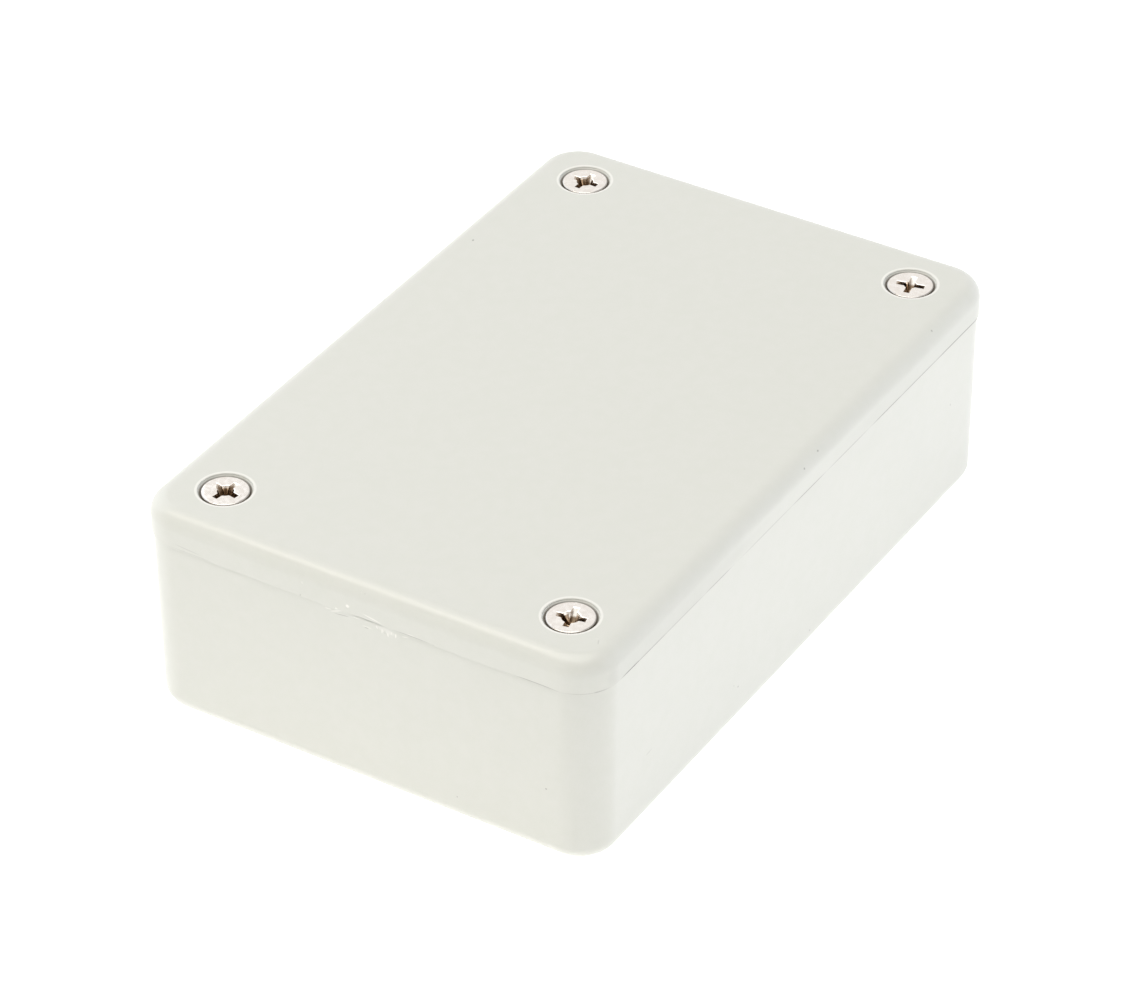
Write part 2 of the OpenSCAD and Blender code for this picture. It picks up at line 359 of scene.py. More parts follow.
def out_from_axes(x, y):
    """A plan point's distance out from the nearest corner axis, or from the line between two."""
    return np.hypot(np.maximum(np.abs(x) - AXIS_X, 0), np.maximum(np.abs(y) - AXIS_Y, 0))


def on_long_side(y):
    """True on the front and the rear, up to a millimetre in from their faces."""
    return np.abs(y) > AXIS_Y + CORNER_R - 1


def joint_openness(x, y):
    """How open the joint is at a plan point, from 0 to 1: the largest of each stretch's openness
    * exp(-(distance / half length) ** 4)."""
    middle_x, middle_y, half, open_ = (np.array(column) for column in zip(*OPEN_JOINTS))
    distance = np.hypot(x[..., None] - middle_x, y[..., None] - middle_y)
    return (open_ * np.exp(-(distance / half) ** 4)).max(axis=-1)


def joint_gap(x, y):
    """How far the lid's foot is off the tub's shoulder at a plan point."""
    return JOINT_GAP * joint_openness(x, y) * np.where(on_long_side(y), LONG_SIDE_GAP, 1)


def joint_shade_and_grime(points):
    """Painted shade and grime on both edges of the joint: openness * a falling share of the height
    off the parting line, on the outer side only."""
    x, y, z = points.T
    reach = np.where(on_long_side(y), DARKENING_UP_LONG, DARKENING_UP_END)
    above = z - PARTING_Z - joint_gap(x, y)
    near = np.where(z > PARTING_Z, reach - above, DARKENING_DOWN - PARTING_Z + z) / DARKENING_FADE
    strength = np.where(on_long_side(y), 1.0, END_DARKENING) * joint_openness(x, y)
    return strength * np.clip(near, 0, 1) * (out_from_axes(x, y) > TUB_R - DARKENING_IN)


def lifted_foot(sheets):
    """The lid's sheets with the outer part of the skirt's foot raised by the gap. The rise is gap *
    outwards * low: outwards grows with the distance into the skirt's thickness, and low falls
    with the height over the foot."""
    lifted = []
    for grid, closed in sheets:
        x, y, z = np.moveaxis(grid, -1, 0)
        outwards = np.clip((out_from_axes(x, y) - SKIRT_R) / (RISE_IN * (CORNER_R - SKIRT_R)), 0, 1)
        low = np.clip(1 - (z - PARTING_Z - CRISP_R) / RISE_UP, 0, 1)
        lifted.append((np.stack([x, y, z + joint_gap(x, y) * outwards * low], axis=-1), closed))
    return lifted


def bruised_rim(sheets):
    """The tub's sheets with a burr on the left end's rim, out * long * deep * ragged: long is
    1 - (distance / half length) ** 4, deep rises and falls with the depth below the parting line,
    and ragged is 0.5 + 0.5 * the product of two sines."""
    bruised = []
    for grid, closed in sheets:
        x, y, z = np.moveaxis(grid, -1, 0)
        outer = (x < -AXIS_X - TONGUE_R - SUPPORT) & (z <= PARTING_Z)
        long = np.clip(1 - ((y - BRUISE_Y) / BRUISE_HALF) ** 4, 0, 1)
        down = np.clip((PARTING_Z - z) / BRUISE_DEPTH, 0, 1)
        deep = np.clip(8 * down, 0, 1) * (1 - down) ** 1.5
        fine, coarse = (np.sin(along * y + up * z) for along, up in BURR_WAVES)
        ragged = 0.5 + 0.5 * fine * coarse
        bruised.append((np.stack([x - BRUISE_OUT * outer * long * deep * ragged, y, z], axis=-1), closed))
    return bruised


# ------------------------------------------------------------------ lid

def lid_side_profile():
    """From the plate's underside, down the skirt's inner face, round its foot, up the outer side
    and over the top edge."""
    foot = PARTING_Z + CRISP_R
    shoulder = TOP_Z - TOP_EDGE_R
    return section(
        arc((SKIRT_R - ROOT_R, PLATE_Z - ROOT_R), ROOT_R, 90, 0),
        arc((SKIRT_R + CRISP_R, foot), CRISP_R, 180, 270, 4),
        (SKIRT_R + CRISP_R + SUPPORT, PARTING_Z),
        (TUB_R - SHOULDER_ROW, PARTING_Z),
        (CORNER_R - FOOT_EDGE_R - SUPPORT, PARTING_Z),
        arc((CORNER_R - FOOT_EDGE_R, PARTING_Z + FOOT_EDGE_R), FOOT_EDGE_R, 270, 360, 4),
        (CORNER_R, PARTING_Z + FOOT_EDGE_R + SUPPORT),
        *((CORNER_R, PARTING_Z + rise) for rise in FOOT_ROWS),
        (CORNER_R, shoulder - SUPPORT),
        arc((CORNER_R - TOP_EDGE_R, shoulder), TOP_EDGE_R, 0, 90, 20),
    )


def lid_well_profile():
    """From the plate's top into the round well, down the countersink and the clearance hole,
    under the boss and up its side to the plate's underside."""
    cone_z = HEAD_Z - HEAD_RIM_H - SEAT_GAP
    cone_top_z = cone_z + WELL_R - HEAD_R
    cone_low_z = cone_z - HEAD_R + SCREW_HOLE_R
    return section(
        arc((WELL_R + CRISP_R, TOP_Z - CRISP_R), CRISP_R, 90, 180, 5)[1:],
        (WELL_R, cone_top_z + SUPPORT),
        (WELL_R, cone_top_z),
        (WELL_R - SUPPORT, cone_top_z - SUPPORT),
        (SCREW_HOLE_R + SUPPORT, cone_low_z + SUPPORT),
        (SCREW_HOLE_R, cone_low_z),
        (SCREW_HOLE_R, cone_low_z - SUPPORT),
        arc((SCREW_HOLE_R + CRISP_R, PARTING_Z + CRISP_R), CRISP_R, 180, 270, 4),
        arc((POST_R - CRISP_R, PARTING_Z + CRISP_R), CRISP_R, 270, 360, 4),
        arc((POST_R + ROOT_R, PLATE_Z - ROOT_R), ROOT_R, 180, 90, 5)[:-1],
    )


def lid_sheets():
    """The whole lid: its side, and in each quarter one sheet from the top face through the
    screw's well and out along the underside."""
    axis = np.array([SCREW_X, SCREW_Y])
    top = quarter_loop(CORNER_R - TOP_EDGE_R)
    under = quarter_loop(SKIRT_R - ROOT_R)
    quarter = [
        (carried(lid_side_profile()), False),
        (flat_to_round(top, axis, TOP_Z, WELL_R + CRISP_R), True),
        (turned(top, axis, section((WELL_R + CRISP_R, TOP_Z), lid_well_profile())), True),
    ]
    well_end = turned(top, axis, lid_well_profile()[-1:])
    under_rim = turned(under, axis, section((POST_R + ROOT_R, PLATE_Z)))
    quarter += [
        (np.concatenate([well_end, under_rim]), True),
        (flat_to_round(under, axis, PLATE_Z, POST_R + ROOT_R, outwards=True), True),
    ]
    return lifted_foot(four_quarters(quarter))


# ------------------------------------------------------------------ tub

def tub_side_profile():
    """From the floor up the leaning inner wall, over the tongue, across the shoulder that the lid
    sits on, down the leaning outer wall and round the bottom edge."""
    def inner(z):
        return INNER_R - (TOP_Z - z) * DRAFT

    def outer(z):
        return TUB_R - (PARTING_Z - z) * DRAFT

    floor_arc_z = FLOOR_Z + INNER_EDGE_R
    burr_rows = PARTING_Z - BRUISE_DEPTH * np.linspace(0.25, 1, 6)
    foot_z = BOTTOM_EDGE_R
    return section(
        arc((inner(floor_arc_z) - INNER_EDGE_R, floor_arc_z), INNER_EDGE_R, 270, 360, 8),
        (inner(TONGUE_Z - CRISP_R), TONGUE_Z - CRISP_R - SUPPORT),
        arc((inner(TONGUE_Z) + CRISP_R, TONGUE_Z - CRISP_R), CRISP_R, 180, 90, 4),
        (TONGUE_R - TONGUE_CHAMFER, TONGUE_Z),
        (TONGUE_R, TONGUE_Z - TONGUE_CHAMFER),
        (TONGUE_R, PARTING_Z + SUPPORT),
        (TONGUE_R, PARTING_Z),
        (TONGUE_R + SUPPORT, PARTING_Z),
        (TUB_R - SHOULDER_ROW, PARTING_Z),
        (TUB_R - CRISP_R - SUPPORT, PARTING_Z),
        arc((TUB_R - CRISP_R, PARTING_Z - CRISP_R), CRISP_R, 90, 0, 4),
        (outer(PARTING_Z - CRISP_R - SUPPORT), PARTING_Z - CRISP_R - SUPPORT),
        *((outer(z), z) for z in burr_rows),
        (outer(foot_z + SUPPORT), foot_z + SUPPORT),
        arc((outer(foot_z) - BOTTOM_EDGE_R, foot_z), BOTTOM_EDGE_R, 0, -90, 16),
    )


def post_profile():
    """Up a corner post's side from the floor, over its rim and down into the insert's hole and
    the room for the screw's tip."""
    return section(
        arc((POST_R + ROOT_R, FLOOR_Z + ROOT_R), ROOT_R, 270, 180, 5),
        arc((POST_R - CRISP_R, PARTING_Z - CRISP_R), CRISP_R, 0, 90, 4),
        (POST_R - CRISP_R - SUPPORT, PARTING_Z),
        (INSERT_HOLE_R + CRISP_R + SUPPORT, PARTING_Z),
        arc((INSERT_HOLE_R + CRISP_R, PARTING_Z - CRISP_R), CRISP_R, 90, 180, 4),
        (INSERT_HOLE_R, INSERT_Z),
        (TIP_HOLE_R, INSERT_Z),
        (TIP_HOLE_R, TIP_Z - TIP_ROOM),
        (0, TIP_Z - TIP_ROOM),
    )


def pillar_profile():
    """Up a floor pillar's side, over its rim and down its pilot hole."""
    return section(
        arc((PILLAR_R + ROOT_R, FLOOR_Z + ROOT_R), ROOT_R, 270, 180, 5),
        arc((PILLAR_R - CRISP_R, PILLAR_Z - CRISP_R), CRISP_R, 0, 90, 4),
        arc((PILOT_R + CRISP_R, PILLAR_Z - CRISP_R), CRISP_R, 90, 180, 4),
        (PILOT_R, PILLAR_Z - PILOT_DEPTH),
        (0, PILLAR_Z - PILOT_DEPTH),
    )


def tub_blocks():
    """The webs from a post to its walls and the ribs of the board slots, whose roots are inside
    the wall and the floor."""
    root_z = FLOOR_Z / 2
    root_x = AXIS_X + INNER_R + WALL / 3
    root_y = AXIS_Y + INNER_R + WALL / 3
    half_t = WEB_T / 2
    web_z = PARTING_Z - WEB_DROP
    quarter = [
        rounded_block((SCREW_X + INSERT_HOLE_R + half_t, SCREW_Y - half_t, root_z),
                      (root_x, SCREW_Y + half_t, web_z), BLOCK_EDGE_R),
        rounded_block((SCREW_X - half_t, SCREW_Y + INSERT_HOLE_R + half_t, root_z),
                      (SCREW_X + half_t, root_y, web_z), BLOCK_EDGE_R),
    ]
    rib_y, rib_z = AXIS_Y + INNER_R - RIB_OUT, PARTING_Z - RIB_DROP
    for rib_x in (SLOT_HALF, SLOT_PITCH + SLOT_HALF, SLOT_PITCH - SLOT_HALF - RIB_T):
        quarter.append(rounded_block((rib_x, rib_y, root_z), (rib_x + RIB_T, root_y, rib_z), BLOCK_EDGE_R))
    return four_quarters(quarter)


def tub_sheets():
    """The whole tub: its wall, and in each quarter the floor drawn up into a corner post and a
    pillar, and the flat underside."""
    side = tub_side_profile()
    floor_s, under_s = side[0, 0], side[-1, 0]
    post_axis = np.array([SCREW_X, SCREW_Y])
    pillar_axis = np.array([PILLAR_X, PILLAR_Y])
    under_axis = np.array([AXIS_X, AXIS_Y]) / 2
    post, pillar, under = post_loop(floor_s), pillar_loop(floor_s), quarter_loop(under_s)
    quarter = [
        (carried(side), False),
        (flat_to_round(post, post_axis, FLOOR_Z, POST_R + ROOT_R), True),
        (turned(post, post_axis, post_profile()), True),
        (flat_to_round(pillar, pillar_axis, FLOOR_Z, PILLAR_R + ROOT_R), True),
        (turned(pillar, pillar_axis, pillar_profile()), True),
        (flat_to_round(under, under_axis, 0.0, 1.0), True),
        (turned(under, under_axis, section((1.0, 0), (0, 0))), True),
    ]
    return bruised_rim(four_quarters(quarter)) + tub_blocks()


# ------------------------------------------------------------------ screws

RECESS_HALF_SPAN = 1.65
RECESS_HALF_WING = 0.325
RECESS_DEPTH = 1.3
RECESS_PIT = 0.15  # how much deeper the middle of its bottom is
RECESS_EDGE_R = 0.07
RECESS_ROWS = 8
SPAN_LEAN, WING_LEAN = 0.62, 0.25  # the shares of a wing's reach and width that are lost at the bottom
# Each recess's turn in degrees, the reach of its round middle at the mouth, where three are worn
# wide, and the share of that reach that is lost at the bottom
RECESSES = {
    "front_left": (12, 1.0, 0.7),
    "front_right": (12, 0.7, 0.45),
    "rear_left": (-10, 0.9, 0.5),
    "rear_right": (-3, 0.95, 0.5),
}
HEAD_EDGE_R = 0.16
THREAD_CREST_R = 1.48
THREAD_ROOT_R = 1.2
THREAD_PITCH = 0.5
THREAD_FLAT = 0.12  # the share of a ridge's height that is cut flat at its root and at its crest
THREAD_ROWS = 12  # rows of points in one turn of thread
TIP_CHAMFER = 0.38


def ring(radius, angle, z):
    """Points (radius * cos angle, radius * sin angle, z), whatever the arrays' shared shape."""
    radius, angle, z = np.broadcast_arrays(radius, angle, z)
    return np.stack([radius * np.cos(angle), radius * np.sin(angle), z], axis=-1)


def rings(angle, *stretches):
    """A ring for each point of a section, in order."""
    profile = section(*stretches)
    return ring(profile[:, :1], angle, profile[:, 1:])


def cross_outlines(half_span, half_wing, core_r, ends=4, sides=9):
    """Outlines of a cross with a round middle, one row for each set of sizes: their angles, and
    the reach, which is the smaller of half_span / cos and half_wing / sin of the angle from a
    wing's axis, but no less than core_r. The columns keep to a wing's corners on every row."""
    corner = np.arctan2(half_wing, half_span)[:, None]
    eighth = np.concatenate([corner * steps(0, 1, ends),
                             corner + (np.pi / 4 - corner) * np.linspace(0, 1, sides + 1)], axis=1)
    quarter = np.concatenate([eighth, np.pi / 2 - eighth[:, -2:0:-1]], axis=1)
    from_wing = np.minimum(quarter, np.pi / 2 - quarter)
    side = half_wing[:, None] / np.sin(np.maximum(from_wing, 0.01))
    reach = np.maximum(np.minimum(half_span[:, None] / np.cos(from_wing), side), core_r[:, None])
    angle = np.concatenate([quarter + turn * np.pi / 2 for turn in range(4)], axis=1)
    return angle, np.tile(reach, 4)


def thread_ridge(angle, z):
    """The height of a thread from 0 at its root to 1 at its crest: a triangle wave of
    z / pitch - angle / (2 pi), cut flat at both ends."""
    turn = (z / THREAD_PITCH - angle / (2 * np.pi)) % 1.0
    return np.clip((1 - np.abs(2 * turn - 1) - THREAD_FLAT) / (1 - 2 * THREAD_FLAT), 0, 1)


def recess_rings(core_r, core_lean, face_r):
    """Rings from a recess's pit up its walls, over its mouth and out along the head's face to
    near face_r, and the angles of the mouth's columns. Each size of the cross is its size at the
    mouth * (1 - lean * depth / full depth)."""
    mouth = arc((RECESS_EDGE_R, -RECESS_EDGE_R), RECESS_EDGE_R, 180, 90, 4)
    depth = np.concatenate([steps(RECESS_DEPTH, RECESS_EDGE_R, RECESS_ROWS), -mouth[:, 1]])
    spread = np.concatenate([np.zeros(RECESS_ROWS), mouth[:, 0]])
    taper = depth / RECESS_DEPTH
    angle, reach = cross_outlines(RECESS_HALF_SPAN * (1 - SPAN_LEAN * taper) + spread,
                                  RECESS_HALF_WING * (1 - WING_LEAN * taper) + spread,
                                  core_r * (1 - core_lean * taper) + spread)
    pit = ring(0.0, angle[:1], HEAD_Z - RECESS_DEPTH - RECESS_PIT)
    walls = ring(reach, angle, (HEAD_Z - depth)[:, None])
    around = angle[-1:]
    face = ring(face_r + (reach[-1:] - face_r) * steps(0.96, 0, 4)[:, None], around, HEAD_Z)
    return np.concatenate([pit, walls, face]), around


def shank_rings(around, high_z):
    """Rings from high_z, where the cone ends, down the thread to the closed tip. The radius is
    root + (crest - root) * ridge(angle, z), faded out under the head and cut back at the tip."""
    z = np.linspace(high_z, TIP_Z, int((high_z - TIP_Z) / THREAD_PITCH * THREAD_ROWS))[:, None]
    fade = np.clip((high_z - z) / THREAD_PITCH, 0, 1)
    radius = THREAD_ROOT_R + (THREAD_CREST_R - THREAD_ROOT_R) * (thread_ridge(around, z) * fade)
    radius = np.minimum(radius, THREAD_CREST_R - TIP_CHAMFER + (z - TIP_Z))
    return np.concatenate([ring(radius, around, z), ring(0.0, around, TIP_Z)])


def screw_sheets(x, y, turn, core_r, core_lean):
    """A countersunk screw at (x, y): its recess and head's face, its rim and cone, and its shank,
    turned anticlockwise by turn degrees."""
    cone_z = HEAD_Z - HEAD_RIM_H
    top, around = recess_rings(core_r, core_lean, HEAD_R - HEAD_EDGE_R)
    rim = rings(
        around,
        arc((HEAD_R - HEAD_EDGE_R, HEAD_Z - HEAD_EDGE_R), HEAD_EDGE_R, 90, 0, 4),
        (HEAD_R, cone_z + SUPPORT),
        (HEAD_R, cone_z),
        (HEAD_R - SUPPORT, cone_z - SUPPORT),
    )
    shank = shank_rings(around, cone_z - (HEAD_R - THREAD_ROOT_R))
    shell = np.concatenate([top, rim, shank])
    cos, sin = math.cos(math.radians(turn)), math.sin(math.radians(turn))
    return [(shell @ [[cos, sin, 0], [-sin, cos, 0], [0, 0, 1]] + [x, y, 0], True)]


# ------------------------------------------------------------------ inserts

KNURL_TEETH = 30
KNURL_DEPTH = 0.12
KNURL_LEAN = 0.5  # teeth in a millimetre of height
KNURL_ROWS = 12
INSERT_GROOVE = 0.4
BORE_CREST_R = 1.53
BORE_ROOT_R = 1.64
BORE_LEAD_IN = 0.2
BORE_EDGE = 0.1
INSERT_EDGE_R = 0.08
INSERT_STEP = 0.1  # how far the top's flat stands out from the groove
PILOT_SHARE, BAND_SHARE = 0.16, 0.32  # of an insert's length


def knurled_band(angle, low_z, high_z, lean):
    """Rings of a knurled band with chamfered ends. Its radius is the insert's less depth * a
    triangle wave of teeth * angle / (2 pi) + lean * z."""
    z = np.linspace(low_z, high_z, KNURL_ROWS)[:, None]
    wave = (KNURL_TEETH * angle / (2 * np.pi) + lean * (z - low_z)) % 1.0
    chamfer = np.maximum(0, INSERT_EDGE_R - np.minimum(z - low_z, high_z - z))
    return ring(INSERT_R - chamfer - KNURL_DEPTH * np.abs(2 * wave - 1), angle, z)


def threaded_bore(angle, high_z, low_z):
    """Rings down a thread, whose radius is root - (root - crest) * ridge(angle, z)."""
    rows = int((INSERT_TOP_Z - INSERT_Z) / THREAD_PITCH * THREAD_ROWS)
    z = np.linspace(high_z, low_z, rows)[:, None]
    return ring(BORE_ROOT_R - (BORE_ROOT_R - BORE_CREST_R) * thread_ridge(angle, z), angle, z)


def insert_sheets(x, y):
    """A brass insert at (x, y): up its plain pilot and over two knurled bands, which lean opposite
    ways and have a groove between them, across its top and down its threaded bore."""
    angle = steps(0, 2 * np.pi, KNURL_TEETH * 4)[None]
    length = INSERT_TOP_Z - INSERT_Z
    groove_r = INSERT_R - INSERT_GROOVE
    pilot_z = INSERT_Z + PILOT_SHARE * length
    groove_low_z = pilot_z + BAND_SHARE * length
    groove_high_z = INSERT_TOP_Z - BAND_SHARE * length
    shell = np.concatenate([
        rings(angle, (BORE_ROOT_R + BORE_EDGE, INSERT_Z), (groove_r - INSERT_EDGE_R, INSERT_Z),
              (groove_r, INSERT_Z + INSERT_EDGE_R), (groove_r, pilot_z)),
        knurled_band(angle, pilot_z, groove_low_z, KNURL_LEAN),
        rings(angle, (groove_r, groove_low_z), (groove_r, groove_high_z)),
        knurled_band(angle, groove_high_z, INSERT_TOP_Z, -KNURL_LEAN),
        rings(angle, (groove_r + INSERT_STEP, INSERT_TOP_Z), (BORE_ROOT_R + BORE_LEAD_IN, INSERT_TOP_Z)),
        threaded_bore(angle, INSERT_TOP_Z - BORE_LEAD_IN, INSERT_Z),
        rings(angle, (BORE_ROOT_R + BORE_EDGE, INSERT_Z)),
    ])
    return [(shell + [x, y, 0], True)]


# ------------------------------------------------------------------ finishes

SPOT_CORE = 0.5  # the share of a spot's radii inside which it has its full strength


class Finish:
    """A material as it is put together, with its nodes fed from Object coordinates."""

    def __init__(self, name, colour, roughness, metallic=0.0):
        self.material = bpy.data.materials.new(name)
        self.material.use_nodes = True
        self.tree = self.material.node_tree
        self.shader = self.tree.nodes["Principled BSDF"]
        self.shader.inputs["Base Color"].default_value = (*colour, 1)
        self.shader.inputs["Roughness"].default_value = roughness
        self.shader.inputs["Metallic"].default_value = metallic
        self.place = self.node("ShaderNodeTexCoord").outputs["Object"]

    def node(self, kind, settings=(), **inputs):
        """A node with its settings and inputs. An input is named, or numbered after an underscore,
        and is a value, three numbers for a colour, or another node's output."""
        made = self.tree.nodes.new(kind)
        for name, value in dict(settings).items():
            setattr(made, name, value)
        for name, value in inputs.items():
            socket = made.inputs[int(name[1:]) if name.startswith("_") else name]
            if isinstance(value, bpy.types.NodeSocket):
                self.tree.links.new(value, socket)
            else:
                socket.default_value = (*value, 1) if socket.type == "RGBA" else value
        return made

    def feed(self, name, output):
        """Links an output to the shader."""
        self.tree.links.new(output, self.shader.inputs[name])

    def maths(self, operation, a, b=0.0, c=0.0):
        """An operation on a and b, and on c where it takes three."""
        return self.node("ShaderNodeMath", {"operation": operation}, _0=a, _1=b, _2=c).outputs[0]

    def vector_maths(self, operation, a, b=(0, 0, 0)):
        """An operation on vectors, as a node."""
        return self.node("ShaderNodeVectorMath", {"operation": operation}, _0=a, _1=b)

    def height(self, vector):
        """A vector's Z."""
        return self.node("ShaderNodeSeparateXYZ", Vector=vector).outputs["Z"]

    def noise(self, size, detail, roughness):
        """Cloudy noise whose features are about size millimetres across."""
        return self.node("ShaderNodeTexNoise", Vector=self.place, Scale=1 / (size * MM), Detail=detail,
                         Roughness=roughness).outputs["Fac"]

    def between(self, value, low, high, start=0.0, end=1.0):
        """A value's place between low and high, given from start to end and held there."""
        return self.node("ShaderNodeMapRange", {"interpolation_type": "SMOOTHSTEP"}, Value=value,
                         _1=low, _2=high, _3=start, _4=end).outputs[0]

    def within(self, length, low, high, start=0.0, end=1.0):
        """The same for a length, with low and high in millimetres."""
        return self.between(length, low * MM, high * MM, start, end)

    def spot(self, middle, radii, turn):
        """1 inside an ellipsoid, given in millimetres and degrees, and 0 outside it."""
        inside = self.node("ShaderNodeMapping", {"vector_type": "TEXTURE"}, Vector=self.place,
                           Location=[m * MM for m in middle], Scale=[r * MM for r in radii],
                           Rotation=[math.radians(t) for t in turn])
        return self.between(self.vector_maths("LENGTH", inside.outputs[0]).outputs["Value"], 1.0, SPOT_CORE)

    def from_screws(self):
        """The distance from the nearest screw's axis, in metres."""
        quarter = self.vector_maths("ABSOLUTE", self.place).outputs[0]
        out = self.vector_maths("SUBTRACT", quarter, (SCREW_X * MM, SCREW_Y * MM, 0)).outputs[0]
        flat = self.vector_maths("MULTIPLY", out, (1, 1, 0)).outputs[0]
        return self.vector_maths("LENGTH", flat).outputs["Value"]

    def mixed(self, share, colour_a, colour_b):
        """Two colours mixed by a share; each is a value or an output."""
        return self.node("ShaderNodeMix", {"data_type": "RGBA"},
                         _0=share, _6=colour_a, _7=colour_b).outputs[2]

    def bumped(self, height, strength, distance):
        """A bump from a height, over a distance in millimetres."""
        bump = self.node("ShaderNodeBump", Height=height, Strength=strength, Distance=distance * MM)
        self.feed("Normal", bump.outputs["Normal"])


# Small marks on the box, and two long bands of painted shade on the lid's front side: the middle,
# the radii along X, Y and Z and the turn about X, Y and Z in degrees of each, and how far it is
# lighter (above 0) or darker than the plastic
MARKS = (
    # top
    ((18.2, 25.0, 26.0), (0.2, 0.14, 0.3), (0, 0, 20), -0.5),
    ((-37.9, -25.6, 26.0), (0.5, 0.1, 0.3), (0, 0, 25), -0.16),
    ((-37.5, -25.2, 26.0), (0.14, 0.3, 0.3), (0, 0, 25), 0.12),
    # front
    ((3.1, -27.6, 25.3), (0.2, 0.3, 0.12), (0, 0, 0), -0.4),
    ((-0.1, -27.7, 25.0), (0.18, 0.3, 0.14), (0, 0, 0), -0.4),
    ((29.0, -27.2, 25.6), (0.15, 0.3, 0.12), (0, 0, 0), -0.35),
    ((2.3, -27.6, 2.3), (0.16, 0.3, 0.12), (0, 0, 0), -0.35),
    ((33.4, -27.7, 13.5), (0.14, 0.3, 0.2), (0, 0, 0), -0.25),
    ((-13.2, -27.7, 4.9), (0.14, 0.3, 0.14), (0, 0, 0), -0.4),
    ((-14.1, -27.7, 5.6), (0.1, 0.3, 0.1), (0, 0, 0), -0.3),
    ((-31.5, -27.7, 8.6), (0.75, 0.3, 0.06), (0, -6, 0), -0.22),
    # Two long faint bands of painted shade: the lid's front side darker than the tub's
    ((-30, -28.1, 23.2), (26, 0.6, 1.8), (0, 0, 0), -0.07),
    ((26, -28.1, 23.2), (24, 0.6, 1.8), (0, 0, 0), -0.045),
    # left end
    ((-42.2, -22.0, 8.8), (0.3, 0.14, 0.12), (0, 0, 0), -0.4),
    ((-42.2, -11.2, 3.2), (0.3, 0.12, 0.1), (0, 0, 0), -0.35),
    ((-42.2, 7.9, 25.4), (0.3, 0.3, 0.16), (15, 0, 0), 0.3),
    ((-42.5, 6.8, 23.8), (0.3, 0.16, 0.2), (0, 0, 0), 0.25),
    ((-42.5, 7.1, 22.1), (0.3, 0.1, 0.22), (0, 0, 0), -0.2),
    ((-42.4, -0.7, 25.1), (0.3, 0.14, 0.14), (0, 0, 0), -0.3),
    ((-42.4, -0.3, 25.1), (0.3, 0.14, 0.16), (0, 0, 0), 0.35),
    ((-42.5, 21.1, 22.5), (0.3, 2.0, 0.06), (4, 0, 0), -0.16),
    # the bruise on the left end: pale strokes over and under the parting line, and dark ones
    ((-42.4, 3.85, 21.55), (0.3, 0.55, 0.11), (-5, 0, 0), 0.6),
    ((-42.4, 2.9, 21.6), (0.3, 1.0, 0.1), (-23, 0, 0), 0.65),
    ((-42.5, 2.7, 22.1), (0.3, 0.2, 0.17), (0, 0, 0), 0.65),
    ((-42.5, 1.3, 22.95), (0.3, 0.27, 0.24), (0, 0, 0), 0.95),
    ((-42.5, -1.65, 22.5), (0.3, 1.35, 0.11), (10, 0, 0), 0.7),
    ((-42.4, 0.35, 21.7), (0.3, 0.55, 0.09), (0, 0, 0), 0.5),
    ((-42.4, -0.9, 21.0), (0.3, 0.8, 0.18), (0, 0, 0), 0.3),
    ((-42.4, -3.2, 21.45), (0.3, 1.5, 0.45), (5, 0, 0), 0.3),
    ((-42.4, -2.1, 21.5), (0.3, 0.1, 0.35), (-8, 0, 0), 0.6),
    ((-42.4, -2.7, 21.2), (0.3, 0.1, 0.4), (6, 0, 0), 0.7),
    ((-42.4, -3.4, 21.0), (0.3, 0.11, 0.34), (-5, 0, 0), 0.75),
    ((-42.4, -3.85, 21.4), (0.3, 0.1, 0.3), (12, 0, 0), 0.5),
    ((-42.4, -4.35, 21.25), (0.3, 0.12, 0.4), (8, 0, 0), 0.8),
    ((-42.4, -5.5, 21.55), (0.3, 0.55, 0.09), (-11, 0, 0), 0.5),
    ((-42.5, -6.3, 22.25), (0.3, 0.5, 0.08), (0, 0, 0), 0.5),
    ((-42.4, 2.2, 21.35), (0.3, 1.2, 0.08), (-7, 0, 0), -0.3),
    ((-42.4, -0.8, 20.88), (0.3, 0.35, 0.07), (0, 0, 0), -0.35),
    ((-42.4, -3.05, 21.2), (0.3, 0.07, 0.3), (0, 0, 0), -0.25),
    ((-42.4, -9.0, 22.0), (0.3, 0.3, 0.08), (0, 0, 0), -0.35),
    # rear and right end
    ((42.3, 12.0, 9.0), (0.3, 0.9, 0.06), (12, 0, 0), -0.15),
    ((-20.0, 27.7, 12.0), (0.16, 0.3, 0.14), (0, 0, 0), -0.35),
)
# Whitened plastic of the pale scuffs, and the painted highlight on the wells' rims
PALE_SCUFF_AND_HIGHLIGHT = (1.0, 0.98, 0.93)
# Dark specks, and the painted shade on the lid's front side
DARK_SPECK_AND_SHADE = (0.1, 0.085, 0.07)
# The colour of the painted shade and grime along the open joint
JOINT_SHADE_AND_GRIME = (0.17, 0.155, 0.135)
# The colour of the painted shade in the wells
WELL_SHADE = (0.24, 0.22, 0.19)


